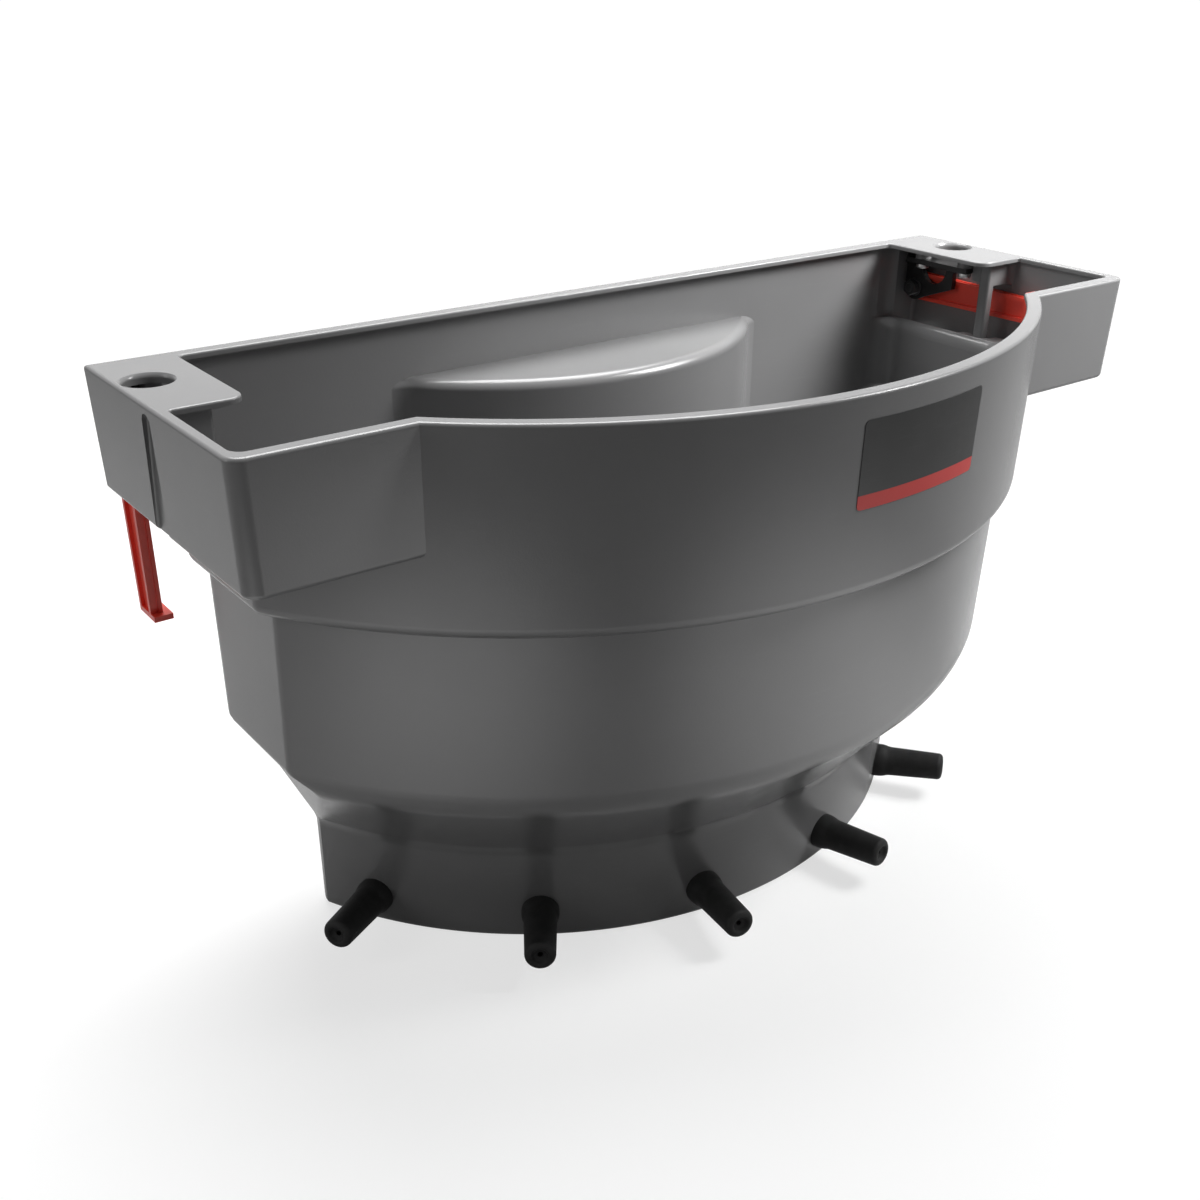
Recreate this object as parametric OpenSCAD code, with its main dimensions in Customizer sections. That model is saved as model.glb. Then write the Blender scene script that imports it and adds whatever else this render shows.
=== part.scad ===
// Multi teat lamb feeder: a hollow tub with a curved, stepped front, a row of rubber teats
// round its lowest tier and a swinging lock arm in the wing at each end.
// Millimetres, +Z up, front facing -Y. Origin: under the middle of the tub, on the floor.

/* [Tub] */
// Length over both wings
overall_length = 600; // [590:5:640]
// Depth from the flat back to the front of the rim
overall_depth = 256; // [250:2:270]
// Height from the base to the rim
overall_height = 332; // [320:2:360]
// How far the plan radius of the curved front is past half the length
rim_radius_past = 12; // [6:1:18]
// Thickness of the moulded wall
wall = 4; // [3:0.5:5]
// Thickness of the floor
floor_thickness = 5; // [4:0.5:6]
// Width of the flat top of the rim
rim_land = 11; // [8:1:13]
// Depth of the lip under the rim
rim_lip = 4; // [3:0.5:8]
// Radius of the upright corners at the back
corner_radius = 20; // [14:1:26]

/* [Tiers] */
// Height of the upper tier
tier_1_height = 106; // [100:1:112]
// Height of the rounded step under the upper tier
step_height = 8; // [6:0.5:10]
// Inward reach of that step at the curved front
step_inset = 10; // [10:0.5:13]
// Height of the lower tier
tier_3_height = 58; // [54:1:64]
// Height of the sloping shoulder
shoulder_height = 62; // [56:1:66]
// Inward reach of the shoulder at the curved front
shoulder_inset = 50; // [46:1:54]
// Inward reach of the shoulder at the flat back
shoulder_back_inset = 28; // [24:1:32]
// Draft of the upper tier's curved wall
tier_1_draft = 4; // [2:0.5:5]
// Draft of the middle tier's curved wall
tier_2_draft = 0.6; // [0:0.2:2]
// Draft of the lower tier's curved wall
tier_3_draft = 1.4; // [0:0.2:2]
// Distance from a wing's end to the upper tier's end wall, at the rim
pocket_reach = 29; // [28:0.5:31]
// Draft of the upper tier's end walls
end_draft = 3; // [2:0.5:4]
// Inward reach of the step at the end walls
end_step = 12.5; // [11.5:0.5:14]
// Inward reach of the shoulder at the end walls
shoulder_end_inset = 38.5; // [34:0.5:42]
// Radius of the round edge under the base
base_edge = 4; // [2:0.5:6]

/* [Ledge] */
// Depth of the crescent ledge, from the flat back to its front
ledge_depth = 66; // [56:1:76]
// Plan radius of the ledge
ledge_radius = 170; // [160:1:180]
// Drop from the rim to the ledge's top
ledge_drop = 34; // [28:1:44]
// Radius of the round edge of the ledge's top
ledge_edge = 8; // [5:0.5:12]

/* [Wings] */
// Depth of a wing
wing_depth = 172; // [168:1:176]
// Height of a wing
wing_height = 63; // [60:1:66]
// Draft of a wing's outer walls
wing_draft = 1.5; // [1:0.25:2]
// Radius of a wing's upright corners
wing_corner = 8; // [5:1:10]
// Width of the top plate
plate_width = 43.4; // [42:0.2:46]
// Depth of the top plate
plate_depth = 93; // [91:1:96]
// Thickness of the top plate
plate_thickness = 5; // [4:0.5:6]
// Radius of the plate's free corner
plate_corner = 10; // [6:1:12]
// Diameter of the hole in the plate
plate_hole_d = 24; // [20:1:26]
// Distance of that hole from the wing's end
plate_hole_from_end = 15.6; // [14:0.2:17]
// Distance of that hole from the flat back
plate_hole_from_back = 43; // [42:0.5:44]
// Width of the rim's flat top along the wing's end
end_land = 7; // [5:0.5:8]
// Distance from the flat back to the window's front edge
window_front = 85; // [80:1:87]
// Drop from the rim to the window's sill
window_drop = 53; // [50:1:55]
// Distance from the flat back to the back of the cross web
web_back = 68; // [67:0.5:70]
// Drop from the rim to the underside of the cross web
web_drop = 18; // [16:0.5:20]
// Width of the pillar under the cross web
pillar_width = 3; // [2:0.5:4]
// Distance from the flat back to the front of the arm's floor slot
slot_front = 118; // [117:1:124]
// Depth of the groove outside the wing's end
groove_depth = 2; // [1:0.25:2.5]
// Width of the groove at its top
groove_top_width = 9; // [7:0.5:10]
// Width of the groove at its foot
groove_foot_width = 15; // [12:0.5:17]
// Distance from the flat back to the groove's front edge
groove_front = 86; // [84:0.5:88]

/* [Teats] */
// Distance of the last teats from the lower tier's ends
teat_end_margin = 12.3; // [11:0.5:24]
// Height of a teat's root above the base
teat_height = 19.5; // [18.5:0.5:24]
// Length of a teat outside the wall
teat_reach = 45; // [40:0.5:50]
// Diameter at the tip
teat_tip_d = 17.6; // [16:0.2:18.4]
// Diameter of the shank next to its collar
teat_shank_d = 19.4; // [18.6:0.2:20.4]
// Diameter of the collar
teat_collar_d = 22; // [21:0.5:24]
// Length of the collar
teat_collar = 5; // [3:0.5:8]
// Radius of the round edge at the tip
teat_tip_radius = 3; // [2:0.25:4]
// Diameter of the neck in the wall
teat_neck_d = 14; // [12:0.5:16]
// Diameter of the flange inside the tub
teat_flange_d = 26; // [23:0.5:27]
// Thickness of the flange inside the tub
teat_flange = 4; // [3:0.5:5]
// Diameter of the milk channel
teat_channel_d = 8; // [6:0.5:9]
// Diameter of the hole in the tip
teat_hole_d = 3.2; // [2:0.2:4]
// Thickness of rubber at the tip
teat_tip_wall = 6; // [4:0.5:8]
// Upward tilt of a teat
teat_tilt = 4; // [0:0.5:6]

/* [Lock arms] */
// Length from the pivot to the foot's end
arm_length = 98; // [94:1:100]
// Height of the I section at the pivot
arm_hub_height = 19; // [17:0.5:19]
// Height of the I section at the foot
arm_foot_height = 16; // [14:0.5:16.5]
// Width over the flanges
arm_width = 6.4; // [6:0.2:7]
// Thickness of the web
arm_web = 2.4; // [1.8:0.2:3]
// Thickness of the flanges
arm_flange = 2.6; // [2:0.2:3]
// Width of the groove along the front flange
arm_groove_width = 1.6; // [1:0.2:2.2]
// Depth of that groove
arm_groove_depth = 0.8; // [0.4:0.2:1.2]
// Thickness of the foot plate
foot_thickness = 3; // [2:0.25:4]
// Reach of the foot past the front flange
foot_reach = 4.8; // [3:0.2:6]
// Reach of the foot past the arm's inner side
foot_side = 3.6; // [2:0.2:4]
// Distance of the pivot from the flat back
pivot_from_back = 14; // [14:0.25:15]
// Drop from the rim to the pivot
pivot_drop = 32.5; // [32:0.5:35]

/* [Pivot] */
// Diameter of the pivot bolt
bolt_d = 6; // [5:0.25:6.5]
// Diameter of the bolt's flat head
bolt_head_d = 11; // [10:0.25:12]
// Thickness of the bolt's head
bolt_head = 2.6; // [2:0.1:2.8]
// Thickness of the bracket's cheek
cheek_thickness = 4.2; // [3.4:0.2:4.6]
// Radius of the cheek's hub
cheek_hub_radius = 9; // [8:0.25:9.25]
// Thickness of the bracket's flange
flange_thickness = 3.5; // [3:0.25:4]
// Height of the bosses under the plate
boss_height = 5; // [4:0.25:6]
// Diameter of those bosses
boss_d = 11; // [9:0.5:11.5]
// Diameter of the bracket screws
screw_d = 5; // [4:0.25:5.5]
// Diameter of the screw heads
screw_head_d = 9; // [8:0.25:10]
// Thickness of the screw heads
screw_head = 3.2; // [2.5:0.1:3.5]
// Diameter of the washer
washer_d = 12.4; // [11:0.2:13]
// Thickness of the washer
washer_thickness = 1.2; // [0.8:0.1:1.5]
// Width of the nut across its flats
nut_flats = 10; // [9:0.25:11]
// Thickness of the nut
nut_thickness = 5; // [4:0.25:5.5]

/* [Hidden] */
$fn = 96;

// Cuts run past the faces that they open by this much
overrun = 2;
// Radial gap of the arm on its bolt
running_gap = 0.05;
// Gap between an arm and the fixed pieces beside it
side_gap = 0.3;
// Gap between a fixed piece and the hole or seat that holds it
seat_gap = 0.04;

// Number of teats
teat_count = 6;

// Sides, as signs along X
left = -1;
right = 1;

// Main places
half_length = overall_length / 2;
rim_radius = half_length + rim_radius_past;
back_y = overall_depth / 2;
front_y = -overall_depth / 2;
arc_y = front_y + rim_radius;

// Heights of the tiers' edges above the base
step_top_z = overall_height - tier_1_height;
step_low_z = step_top_z - step_height;
shoulder_low_z = tier_3_height;
shoulder_top_z = shoulder_low_z + shoulder_height;

// Half lengths of the tiers
tier_1_half = half_length - pocket_reach;
tier_2_half = tier_1_half - end_step;
tier_3_half = tier_2_half - shoulder_end_inset;

// Plan radii of the curved front
tier_1_radius = rim_radius - tier_1_draft;
tier_2_radius = tier_1_radius - step_inset;
shoulder_radius = tier_2_radius - tier_2_draft;
tier_3_radius = shoulder_radius - shoulder_inset;
base_radius = tier_3_radius - tier_3_draft;

// Height of the short upright edges that close the shoulder's loft
loft_edge = wall / 8;
// Radius where the floor meets the wall inside the tub
floor_edge = wall / 8;

// Wing and pocket
wing_floor_z = overall_height - wing_height;
pocket_top_z = overall_height - plate_thickness;
pocket_in = tier_1_half;
pocket_out = half_length - wall;
plate_in = half_length - plate_width;
compartment_root = sqrt(rim_radius * rim_radius - pow(arc_y - back_y + wing_depth, 2));
wing_root = compartment_root - wing_corner;
hole_x = half_length - plate_hole_from_end;
hole_y = back_y - plate_hole_from_back;

// Lock arm and its pivot, on the right
arm_out = pocket_out - wing_draft - 2 * side_gap;
arm_in = arm_out - arm_width;
pivot_y = back_y - pivot_from_back;
pivot_z = overall_height - pivot_drop;
slot_in = arm_in - foot_side - 4 * side_gap;
cheek_out = arm_in - side_gap;
cheek_in = cheek_out - cheek_thickness;
head_in = arm_out - bolt_head - side_gap;
nut_in = cheek_in - washer_thickness - nut_thickness;

// Bracket flange and screws, on the right
flange_top_z = pocket_top_z - boss_height;
flange_low_z = flange_top_z - flange_thickness;
boss_margin = side_gap + boss_d / 2;
screw_x = pocket_in + boss_margin + side_gap;
screw_front_y = back_y - web_back + boss_margin + side_gap;
screw_back_y = 2 * hole_y - screw_front_y;
flange_in = pocket_in + 2 * side_gap;
flange_back_y = screw_back_y + boss_d;
flange_front_y = screw_front_y - boss_d / 2;
screw_tip_z = overall_height - plate_thickness / 2;

// Shares of the cheek's height and of its length in front of the pivot
cheek_front_share = 0.62;
cheek_corner_share = 0.84;
cheek_window_share = 0.3;
cheek_window_size_share = 0.2;

// Teat places
teat_wall_radius = base_radius + tier_3_draft * teat_height / shoulder_low_z;
teat_last_angle = asin((tier_3_half - teat_end_margin) / teat_wall_radius);
teat_pitch = 2 * teat_last_angle / (teat_count - 1);

// Upright section of a stepped wall, from its middle line out to the wall, for one direction in plan.
// The foot of the step is a quarter round.
module upper_section(at_rim, at_foot, at_notch, inset) {
    round_in = at_foot - step_height;
    polygon([[0, step_low_z],
             [at_notch - inset, step_low_z],
             [at_notch - inset, step_low_z + inset],
             [round_in, step_low_z + inset],
             [round_in, step_top_z],
             [at_foot - inset, step_top_z],
             [at_rim - inset, overall_height],
             [0, overall_height]]);
    translate([round_in, step_top_z])
        circle(r = step_height - inset);
}

// Upright section of the two lower tiers at the curved front, with a round edge at its foot
module lower_section(inset, foot_z) {
    foot_r = base_radius - inset;
    edge = inset > 0 ? floor_edge : base_edge;
    polygon([[0, foot_z],
             [foot_r - edge, foot_z],
             [foot_r - edge, foot_z + edge],
             [foot_r, foot_z + edge],
             [tier_3_radius - inset, shoulder_low_z],
             [shoulder_radius - inset, shoulder_top_z],
             [tier_2_radius - inset, step_low_z],
             [tier_2_radius - inset, step_low_z + inset],
             [0, step_low_z + inset]]);
    translate([foot_r - edge, foot_z + edge])
        circle(r = edge);
}

// Solid of revolution that carries the curved front
module front_form(inset, foot_z) {
    translate([0, arc_y, 0])
        rotate_extrude($fn = 180) {
            upper_section(rim_radius, tier_1_radius, tier_2_radius, inset);
            lower_section(inset, foot_z);
        }
}

// Plan of a tier's ends and back, with round upright corners at the back
module ends_plan(half, back_inset, inset) {
    reach = half - inset;
    radius = corner_radius - inset;
    back = back_y - back_inset - inset;
    translate([-reach, front_y])
        square([2 * reach, back - radius - front_y]);
    translate([radius - reach, front_y])
        square([2 * (reach - radius), back - front_y]);
    for (side = [left, right])
        translate([side * (reach - radius), back - radius])
            circle(r = radius);
}

// Solid that carries the ends and the back of all tiers
module ends_form(inset, foot_z) {
    intersection() {
        translate([0, 0, step_low_z])
            linear_extrude(height = overall_height - step_low_z)
                ends_plan(tier_1_half, 0, inset);
        rotate([90, 0, 0])
            translate([0, 0, -back_y])
                linear_extrude(height = overall_depth)
                    for (side = [0, 1])
                        mirror([side, 0])
                            upper_section(tier_1_half, tier_1_half - end_draft, tier_2_half, inset);
    }
    translate([0, 0, shoulder_top_z])
        linear_extrude(height = step_low_z + inset - shoulder_top_z)
            ends_plan(tier_2_half, 0, inset);
    hull() {
        translate([0, 0, shoulder_top_z - loft_edge])
            linear_extrude(height = loft_edge)
                ends_plan(tier_2_half, 0, inset, $fn = 32);
        translate([0, 0, shoulder_low_z])
            linear_extrude(height = loft_edge)
                ends_plan(tier_3_half, shoulder_back_inset, inset, $fn = 32);
    }
    translate([0, 0, foot_z])
        linear_extrude(height = shoulder_low_z - foot_z)
            ends_plan(tier_3_half, shoulder_back_inset, inset);
}

// Solid form of the tub, drawn in by an inset
module tub_form(inset, foot_z) {
    intersection() {
        front_form(inset, foot_z);
        ends_form(inset, foot_z);
    }
}

// Solid form of one wing, with drafted walls and round upright corners
module wing_form(side) {
    intersection() {
        translate([0, 0, wing_floor_z])
            linear_extrude(height = wing_height)
                wing_plan(side);
        rotate([90, 0, 0])
            translate([0, 0, -back_y])
                linear_extrude(height = wing_depth)
                    polygon([[side * wing_root, wing_floor_z],
                             [side * (half_length - wing_draft), wing_floor_z],
                             [side * half_length, overall_height],
                             [side * wing_root, overall_height]]);
        rotate([90, 0, 90])
            translate([0, 0, -half_length])
                linear_extrude(height = overall_length)
                    polygon([[back_y, wing_floor_z],
                             [back_y, overall_height],
                             [back_y - wing_depth, overall_height],
                             [back_y - wing_depth + wing_draft, wing_floor_z]]);
    }
}

// Plan of one wing, from its root inside the tub to its end
module wing_plan(side) {
    front = back_y - wing_depth;
    mirror([side == left ? 1 : 0, 0]) {
        translate([wing_root, front])
            square([half_length - wing_corner - wing_root, wing_depth]);
        translate([wing_root, front + wing_corner])
            square([half_length - wing_root, wing_depth - wing_corner]);
        translate([half_length - wing_corner, front + wing_corner])
            circle(r = wing_corner);
    }
}

// Box on the right from one corner to the other
module box(low, high) {
    translate(low)
        cube(high - low);
}

// Mouth of the tub through the lip of the rim, with the open front of each wing
module mouth() {
    translate([0, 0, overall_height - rim_lip - overrun])
        linear_extrude(height = rim_lip + 2 * overrun)
            difference() {
                union() {
                    intersection() {
                        translate([0, arc_y])
                            circle(r = rim_radius - rim_land, $fn = 180);
                        translate([-tier_1_half, front_y])
                            square([2 * tier_1_half, overall_depth - rim_land]);
                    }
                    for (side = [0, 1])
                        mirror([side, 0])
                            wing_mouth();
                }
                for (side = [0, 1])
                    mirror([side, 0])
                        plate_plan();
            }
}

// Open front of the right wing at the rim
module wing_mouth() {
    front = back_y - wing_depth + rim_land;
    radius = wing_corner - wall;
    translate([compartment_root, front])
        square([half_length - end_land - radius - compartment_root, wing_depth - rim_land - plate_depth]);
    translate([compartment_root, front + radius])
        square([half_length - end_land - compartment_root, wing_depth - rim_land - plate_depth - radius]);
    translate([half_length - end_land - radius, front + radius])
        circle(r = radius);
}

// Plan of the right wing's top plate, with its free corner rounded
module plate_plan() {
    front = back_y - plate_depth;
    translate([plate_in, front + plate_corner])
        square([plate_width, plate_depth - plate_corner]);
    translate([plate_in + plate_corner, front])
        square([plate_width - plate_corner, plate_depth]);
    translate([plate_in + plate_corner, front + plate_corner])
        circle(r = plate_corner);
}

// Top plate of the right wing where it reaches in over the tub
module plate() {
    translate([0, 0, pocket_top_z])
        linear_extrude(height = plate_thickness)
            intersection() {
                plate_plan();
                translate([plate_in, back_y - plate_depth])
                    square([pocket_out - plate_in, plate_depth]);
            }
}

// Spaces inside the right wing: front compartment, pocket, passage under the cross web, floor slot and window
module wing_spaces() {
    web_front_y = back_y - plate_depth;
    web_back_y = back_y - web_back;
    lip_z = overall_height - rim_lip;
    low_z = wing_floor_z - overrun;
    box([compartment_root, back_y - wing_depth + wall, wing_floor_z + wall],
        [pocket_out - wing_draft, web_front_y, lip_z]);
    box([pocket_in, web_back_y, low_z],
        [pocket_out - wing_draft, back_y - wall, pocket_top_z]);
    box([pocket_in + pillar_width, web_front_y - overrun, low_z],
        [pocket_out - wing_draft, web_back_y + overrun, overall_height - web_drop]);
    box([slot_in, back_y - slot_front, low_z],
        [pocket_out - wing_draft, web_front_y, wing_floor_z + wall + overrun]);
    box([tier_1_half - corner_radius - overrun, back_y - window_front, overall_height - window_drop],
        [pocket_in + overrun, back_y - wall, pocket_top_z]);
}

// Groove outside the right wing's end
module end_groove() {
    front = back_y - groove_front;
    translate([half_length - wing_draft - groove_depth, 0, 0])
        rotate([90, 0, 90])
            linear_extrude(height = groove_depth + wing_draft + overrun)
                polygon([[front, wing_floor_z - overrun],
                         [front + groove_foot_width, wing_floor_z - overrun],
                         [front + groove_top_width, pocket_top_z],
                         [front, pocket_top_z]]);
}

// Upright round of the crescent ledge with a round top edge, drawn in by an inset
module ledge_round(inset, low_z, high_z) {
    radius = ledge_radius - inset;
    edge = ledge_edge - inset;
    translate([0, back_y - ledge_depth + ledge_radius, 0])
        rotate_extrude($fn = 180) {
            polygon([[0, low_z],
                     [radius, low_z],
                     [radius, high_z - edge],
                     [radius - edge, high_z - edge],
                     [radius - edge, high_z],
                     [0, high_z]]);
            translate([radius - edge, high_z - edge])
                circle(r = edge);
        }
}

// Places a shape on the axis of one teat: its own +Z points out of the wall
module at_teat(index) {
    translate([0, arc_y, 0])
        rotate([0, 0, (index - 1) * teat_pitch - teat_last_angle])
            translate([0, -teat_wall_radius, teat_height])
                rotate([90 - teat_tilt, 0, 0])
                    children();
}

// Moulded tub with its wings, ledge and holes
module tub() {
    ledge_top_z = overall_height - ledge_drop;
    color("dimgray")
        difference() {
            union() {
                difference() {
                    union() {
                        tub_form(0, 0);
                        for (side = [left, right])
                            wing_form(side);
                    }
                    intersection() {
                        tub_form(wall, floor_thickness);
                        box([-half_length, front_y, 0],
                            [half_length, back_y, overall_height - rim_lip]);
                    }
                    mouth();
                    for (side = [0, 1])
                        mirror([side, 0, 0])
                            wing_spaces();
                }
                intersection() {
                    ledge_round(0, 0, ledge_top_z);
                    tub_form(0, 0);
                }
                for (side = [0, 1])
                    mirror([side, 0, 0]) {
                        plate();
                        for (y = [screw_back_y, screw_front_y])
                            translate([screw_x, y, flange_top_z])
                                cylinder(d = boss_d, h = boss_height + plate_thickness / 2);
                    }
            }
            ledge_round(wall, -overrun, ledge_top_z - wall);
            for (side = [0, 1])
                mirror([side, 0, 0]) {
                    end_groove();
                    translate([hole_x, hole_y, pocket_top_z])
                        cylinder(d = plate_hole_d, h = plate_thickness + overrun);
                    for (y = [screw_back_y, screw_front_y])
                        translate([screw_x, y, flange_top_z - overrun])
                            cylinder(d = screw_d + 2 * seat_gap, h = screw_tip_z - flange_top_z + overrun);
                }
            for (index = [1 : teat_count])
                at_teat(index)
                    translate([0, 0, -2 * wall])
                        cylinder(d = teat_neck_d + 2 * seat_gap, h = 4 * wall);
        }
}

// Band of space that the wall of the lowest tier takes up, with its seat gap
module teat_wall_band() {
    outer = seat_gap;
    inner = wall + seat_gap;
    translate([0, arc_y, 0])
        rotate_extrude($fn = 180)
            polygon([[base_radius - inner, floor_thickness + floor_edge],
                     [base_radius + outer, base_edge],
                     [tier_3_radius + outer, shoulder_low_z],
                     [tier_3_radius - inner, shoulder_low_z]]);
}

// Half section of a teat's round body: flange, neck, collar, shank and rounded tip
module teat_section() {
    tip_r = teat_tip_d / 2;
    flange_low = -wall - teat_flange;
    polygon([[0, flange_low],
             [teat_flange_d / 2, flange_low],
             [teat_flange_d / 2, -wall / 2],
             [teat_collar_d / 2, -wall / 2],
             [teat_collar_d / 2, teat_collar],
             [teat_shank_d / 2, teat_collar + (teat_collar_d - teat_shank_d) / 2],
             [tip_r, teat_reach - teat_tip_radius],
             [tip_r - teat_tip_radius, teat_reach - teat_tip_radius],
             [tip_r - teat_tip_radius, teat_reach],
             [0, teat_reach]]);
    translate([tip_r - teat_tip_radius, teat_reach - teat_tip_radius])
        circle(r = teat_tip_radius);
}

// Rubber teat: collar outside the wall, flange inside it, neck through it and a channel for the milk
module teat(index) {
    flange_low = -wall - teat_flange;
    color("black")
        difference() {
            union() {
                difference() {
                    at_teat(index)
                        rotate_extrude()
                            teat_section();
                    teat_wall_band();
                }
                at_teat(index)
                    translate([0, 0, flange_low + teat_flange / 2])
                        cylinder(d = teat_neck_d, h = wall + teat_flange / 2 + teat_collar);
            }
            at_teat(index) {
                translate([0, 0, flange_low - overrun])
                    cylinder(d = teat_channel_d, h = teat_reach - teat_tip_wall - flange_low + overrun);
                translate([0, 0, flange_low])
                    cylinder(d = teat_hole_d, h = teat_reach - flange_low + overrun);
            }
        }
}

// Shape along X on one side, drawn for the right and mirrored for the left
module on_side(side) {
    mirror([side == left ? 1 : 0, 0, 0])
        children();
}

// Plate across X, from one place to another, with its outline in Y and Z
module slab(low_x, high_x) {
    translate([low_x, 0, 0])
        rotate([90, 0, 90])
            linear_extrude(height = high_x - low_x)
                children();
}

// Cylinder along X about the pivot
module pivot_round(low_x, high_x, diameter) {
    translate([low_x, pivot_y, pivot_z])
        rotate([0, 90, 0])
            cylinder(d = diameter, h = high_x - low_x);
}

// Outline of the bracket's cheek: hub, broad leg and a round-bottomed window
module cheek_plan() {
    front = pivot_y - cheek_front_share * (pivot_y - flange_front_y);
    drop = flange_top_z - pivot_z;
    corner_z = flange_top_z - cheek_corner_share * drop;
    window_y = pivot_y - cheek_window_share * (pivot_y - flange_front_y);
    window_r = cheek_window_size_share * (pivot_y - flange_front_y);
    difference() {
        union() {
            translate([pivot_y, pivot_z])
                circle(r = cheek_hub_radius);
            polygon([[pivot_y + cheek_hub_radius, pivot_z],
                     [pivot_y + cheek_hub_radius, flange_top_z],
                     [flange_front_y, flange_top_z],
                     [flange_front_y, flange_low_z],
                     [front, flange_low_z - flange_thickness],
                     [front, corner_z],
                     [pivot_y, pivot_z - cheek_hub_radius]]);
        }
        intersection() {
            translate([window_y, flange_low_z - flange_thickness])
                circle(r = window_r);
            translate([window_y - window_r, flange_low_z - flange_thickness - window_r])
                square([2 * window_r, window_r]);
        }
    }
}

// Moulded bracket that hangs under the top plate and carries the pivot bolt
module pivot_bracket(side) {
    color([0.06, 0.06, 0.06])
        on_side(side)
            difference() {
                union() {
                    slab(cheek_in, cheek_out)
                        cheek_plan();
                    box([flange_in, flange_front_y, flange_low_z],
                        [cheek_out, flange_back_y, flange_top_z]);
                }
                pivot_round(cheek_in - overrun, cheek_out + overrun, bolt_d + 2 * seat_gap);
                for (y = [screw_back_y, screw_front_y])
                    translate([screw_x, y, flange_low_z - overrun])
                        cylinder(d = screw_d + 2 * seat_gap, h = flange_thickness + 2 * overrun);
            }
}

// Pan-head screws that go up through the flange into the bosses under the plate
module bracket_screws(side) {
    color("silver")
        on_side(side)
            for (y = [screw_back_y, screw_front_y])
                translate([screw_x, y, flange_low_z - screw_head]) {
                    cylinder(d = screw_head_d, h = screw_head);
                    cylinder(d = screw_d, h = screw_tip_z - flange_low_z + screw_head - side_gap);
                }
}

// Side outline of an arm hanging from its pivot, drawn in by an inset
module arm_plan(inset) {
    low_z = pivot_z - arm_length;
    hub = arm_hub_height / 2 - inset;
    end = arm_foot_height / 2 - inset;
    translate([pivot_y, pivot_z])
        circle(r = hub);
    polygon([[pivot_y - hub, pivot_z],
             [pivot_y + hub, pivot_z],
             [pivot_y + end, low_z + inset],
             [pivot_y - end, low_z + inset]]);
}

// Side outline of the hollows beside the web, clear of the hub and the foot
module arm_hollow_plan() {
    low_z = pivot_z - arm_length;
    difference() {
        arm_plan(arm_flange);
        translate([pivot_y, pivot_z])
            circle(r = arm_hub_height / 2);
        translate([pivot_y - arm_hub_height, low_z - overrun])
            square([2 * arm_hub_height, foot_thickness + overrun]);
    }
}

// Side outline of the groove along the front flange
module arm_groove_plan() {
    low_z = pivot_z - arm_length + foot_thickness;
    intersection() {
        difference() {
            arm_plan(-overrun);
            arm_plan(arm_groove_depth);
        }
        translate([pivot_y - arm_hub_height, low_z])
            square([arm_hub_height, arm_length - foot_thickness]);
    }
}

// Red arm of I section with a hub, a foot plate and a counterbore for the bolt's head, hanging down
module hanging_arm() {
    low_z = pivot_z - arm_length;
    hollow = (arm_width - arm_web) / 2;
    groove_in = arm_in + hollow;
    difference() {
        union() {
            slab(arm_in, arm_out)
                arm_plan(0);
            box([arm_in - foot_side, pivot_y - arm_foot_height / 2 - foot_reach, low_z],
                [arm_out, pivot_y + arm_foot_height / 2, low_z + foot_thickness]);
        }
        slab(arm_in - overrun, arm_in + hollow)
            arm_hollow_plan();
        slab(arm_out - hollow, arm_out + overrun)
            arm_hollow_plan();
        slab(groove_in, groove_in + arm_groove_width)
            arm_groove_plan();
        pivot_round(arm_in - overrun, arm_out + overrun, bolt_d + 2 * running_gap);
        pivot_round(head_in - running_gap, arm_out + overrun, bolt_head_d + 4 * side_gap);
    }
}

// Lock arm: it hangs on the left and is swung up level on the right
module lock_arm(side) {
    turn = side == right ? -90 : 0;
    color([0.8, 0.16, 0.12])
        on_side(side)
            translate([0, pivot_y, pivot_z])
                rotate([turn, 0, 0])
                    translate([0, -pivot_y, -pivot_z])
                        hanging_arm();
}

// Pivot bolt with its flat head sunk in the arm's outer side
module pivot_bolt(side) {
    color("silver")
        on_side(side) {
            pivot_round(nut_in - side_gap, head_in + bolt_head / 2, bolt_d);
            pivot_round(head_in, head_in + bolt_head, bolt_head_d);
        }
}

// Washer between the cheek and the nut
module pivot_washer(side) {
    color("silver")
        on_side(side)
            difference() {
                pivot_round(cheek_in - washer_thickness, cheek_in, washer_d);
                pivot_round(cheek_in - washer_thickness - overrun, cheek_in + overrun, bolt_d + 2 * seat_gap);
            }
}

// Lock nut on the bolt's inner end
module pivot_nut(side) {
    color("silver")
        on_side(side)
            difference() {
                translate([nut_in, pivot_y, pivot_z])
                    rotate([0, 90, 0])
                        cylinder(d = nut_flats / cos(30), h = nut_thickness, $fn = 6);
                pivot_round(nut_in - overrun, nut_in + nut_thickness + overrun, bolt_d + 2 * seat_gap);
            }
}

tub();
for (index = [1 : teat_count])
    teat(index);
pivot_bracket(left);  // pivot_bracket_left
pivot_bracket(right);  // pivot_bracket_right
bracket_screws(left);  // bracket_screws_left
bracket_screws(right);  // bracket_screws_right
lock_arm(left);  // lock_arm_left
lock_arm(right);  // lock_arm_right
pivot_bolt(left);  // pivot_bolt_left
pivot_bolt(right);  // pivot_bolt_right
pivot_washer(left);  // pivot_washer_left
pivot_washer(right);  // pivot_washer_right
pivot_nut(left);  // pivot_nut_left
pivot_nut(right);  // pivot_nut_right
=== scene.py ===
import math

import bmesh
import bpy
from mathutils import Matrix, Vector
from numpy import interp


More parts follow.
